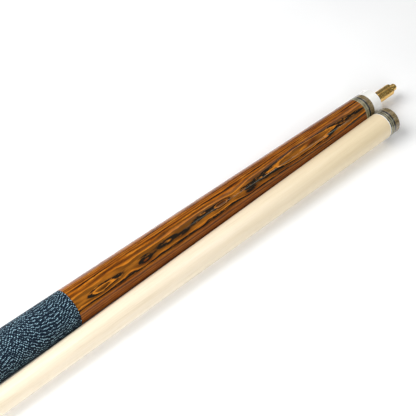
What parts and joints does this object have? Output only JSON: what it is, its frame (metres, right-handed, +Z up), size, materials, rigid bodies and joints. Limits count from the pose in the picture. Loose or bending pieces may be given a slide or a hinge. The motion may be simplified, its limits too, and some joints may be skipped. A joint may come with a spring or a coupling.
{
  "type": "pool cue",
  "caption": "Two-piece pool cue taken apart and laid down: figured-wood butt with linen wrap and brass joint pin, beside its tapered maple shaft.",
  "frame": {"origin": "on the floor, under the middle of the box that holds both halves as they lie side by side", "axes": "+X along the butt towards its joint pin, +Y from the shaft towards the butt, +Z up"},
  "size_m": [0.7728, 0.0495, 0.0333],
  "materials": {
    "ivory_phenolic": "polished",
    "horn": "polished, faintly streaked",
    "nickel_silver": "polished",
    "black_phenolic": "polished",
    "brass": "turned and polished",
    "figured_wood": "high gloss clear coat over dark figure",
    "maple": "satin, sealed and burnished",
    "linen": "pressed and waxed, light flecks",
    "steel": "zinc plated",
    "bumper_rubber": "matt",
    "fibre": "matt",
    "tip_leather": "chalked"
  },
  "bodies": {
    "butt": {"joint_collar": "ivory_phenolic", "joint_horn_ring": "horn", "joint_black_ring": "black_phenolic", "joint_silver_ring_front": "nickel_silver", "joint_black_line": "black_phenolic", "joint_silver_ring_rear": "nickel_silver", "joint_pin": "brass", "forearm": "figured_wood", "a_joint_stud": "steel", "handle_core": "maple", "linen_wrap": "linen", "sleeve_silver_ring_front": "nickel_silver", "sleeve_black_ring_front": "black_phenolic", "sleeve_horn_ring_front": "horn", "butt_sleeve": "figured_wood", "sleeve_horn_ring_rear": "horn", "sleeve_black_ring_rear": "black_phenolic", "sleeve_silver_ring_rear": "nickel_silver", "butt_cap": "ivory_phenolic"},
    "shaft": {"shaft_horn_collar": "horn", "shaft_black_ring": "black_phenolic", "shaft_silver_ring_front": "nickel_silver", "shaft_black_line_front": "black_phenolic", "shaft_silver_ring_rear": "nickel_silver", "shaft_black_line_rear": "black_phenolic", "shaft_cream_ring": "ivory_phenolic", "threaded_insert": "brass", "shaft_wood": "maple", "ferrule": "ivory_phenolic", "tip_pad": "fibre", "leather_tip": "tip_leather"},
    "bumper": {"rubber_bumper": "bumper_rubber"},
    "weight": {"weight_bolt": "steel"}
  },
  "joints": [
    {"name": "shaft_swing", "type": "hinge", "parent": "butt", "child": "shaft", "pos_m": [0.36925, -0.00499, 0.0108], "axis": [0, 0, 1], "range_deg": [0, 179.5]},
    {"name": "bumper_pull", "type": "slide", "parent": "butt", "child": "bumper", "axis": [-1, 0, 0.008], "range_m": [0, 0.018]},
    {"name": "weight_bolt_travel", "type": "slide", "parent": "butt", "child": "weight", "axis": [-1, 0, 0.008], "range_m": [0, 0.025]}
  ]
}
